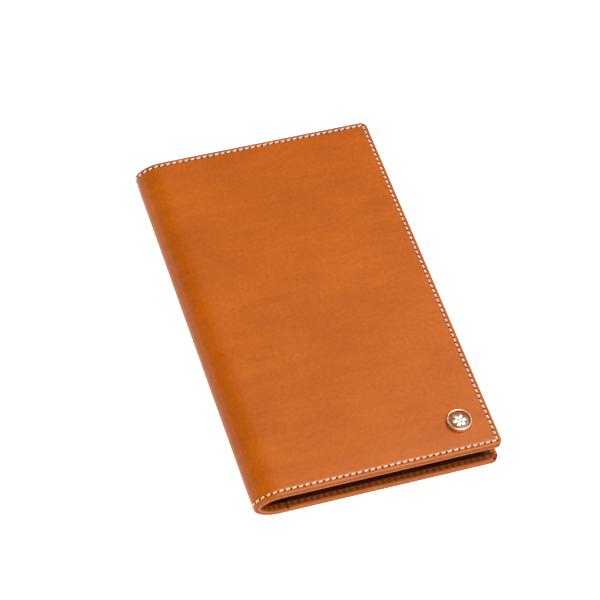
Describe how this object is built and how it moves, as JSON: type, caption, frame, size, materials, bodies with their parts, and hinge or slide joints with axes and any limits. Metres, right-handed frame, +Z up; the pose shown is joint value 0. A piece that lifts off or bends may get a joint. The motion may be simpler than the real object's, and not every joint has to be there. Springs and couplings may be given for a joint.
{
  "type": "notebook cover",
  "caption": "Slim leather notebook cover that opens flat like a book, with contrast-stitched edges, a soft round spine, inner sleeves and a small round metal stud.",
  "frame": {"origin": "middle of the rectangle that the closed cover fills, on the face it lies on", "axes": "+Y from the tail to the head along the spine, +X from the spine to the fore-edge, +Z up through the closed covers"},
  "size_m": [0.106, 0.176, 0.0169],
  "materials": {
    "tan_leather": "smooth vegetable-tanned calf, waxed to a satin sheen",
    "lining_leather": "smooth tan lining leather, matt",
    "board": "pressed fibre board, matt",
    "cream_thread": "waxed linen thread, cream",
    "tan_thread": "waxed linen thread, tan",
    "pale_gold": "polished pale gold plating",
    "enamel": "glossy tan-brown enamel",
    "steel": "plain turned steel"
  },
  "bodies": {
    "back_cover": {"back_leather": "tan_leather", "back_board": "board", "back_lining": "lining_leather", "back_pocket": "lining_leather", "back_hem_fore_edge": "tan_leather", "back_hem_head": "tan_leather", "back_hem_tail": "tan_leather", "back_face_thread": "cream_thread", "back_inner_thread": "tan_thread"},
    "spine_back": {"spine_back_leather": "tan_leather", "spine_back_lining": "lining_leather", "spine_back_hem_head": "tan_leather", "spine_back_face_thread_head": "cream_thread", "spine_back_inner_thread_head": "tan_thread", "spine_back_hem_tail": "tan_leather", "spine_back_face_thread_tail": "cream_thread", "spine_back_inner_thread_tail": "tan_thread"},
    "spine_front": {"spine_front_leather": "tan_leather", "spine_front_lining": "lining_leather", "spine_front_hem_head": "tan_leather", "spine_front_face_thread_head": "cream_thread", "spine_front_inner_thread_head": "tan_thread", "spine_front_hem_tail": "tan_leather", "spine_front_face_thread_tail": "cream_thread", "spine_front_inner_thread_tail": "tan_thread"},
    "front_cover": {"front_leather": "tan_leather", "front_board": "board", "front_lining": "lining_leather", "front_pocket": "lining_leather", "front_hem_fore_edge": "tan_leather", "front_hem_head": "tan_leather", "front_hem_tail": "tan_leather", "front_face_thread": "cream_thread", "front_inner_thread": "tan_thread", "stud_bezel": "pale_gold", "stud_disc": "enamel", "stud_motif": "pale_gold", "stud_post": "steel", "stud_washer": "steel"}
  },
  "joints": [
    {"name": "back_fold", "type": "hinge", "parent": "back_cover", "child": "spine_back", "pos_m": [-0.04719, 0, 0.00074], "axis": [0, -1, 0], "range_deg": [0, 45]},
    {"name": "nose_fold", "type": "hinge", "parent": "spine_back", "child": "spine_front", "pos_m": [-0.05355, 0, 0.00745], "axis": [0, -1, 0], "range_deg": [0, 90]},
    {"name": "front_fold", "type": "hinge", "parent": "spine_front", "child": "front_cover", "pos_m": [-0.04719, 0, 0.01416], "axis": [0, -1, 0], "range_deg": [0, 45]}
  ],
  "couplings": [
    {"joint": "nose_fold", "follows": "back_fold", "ratio": 2},
    {"joint": "front_fold", "follows": "back_fold", "ratio": 1}
  ]
}
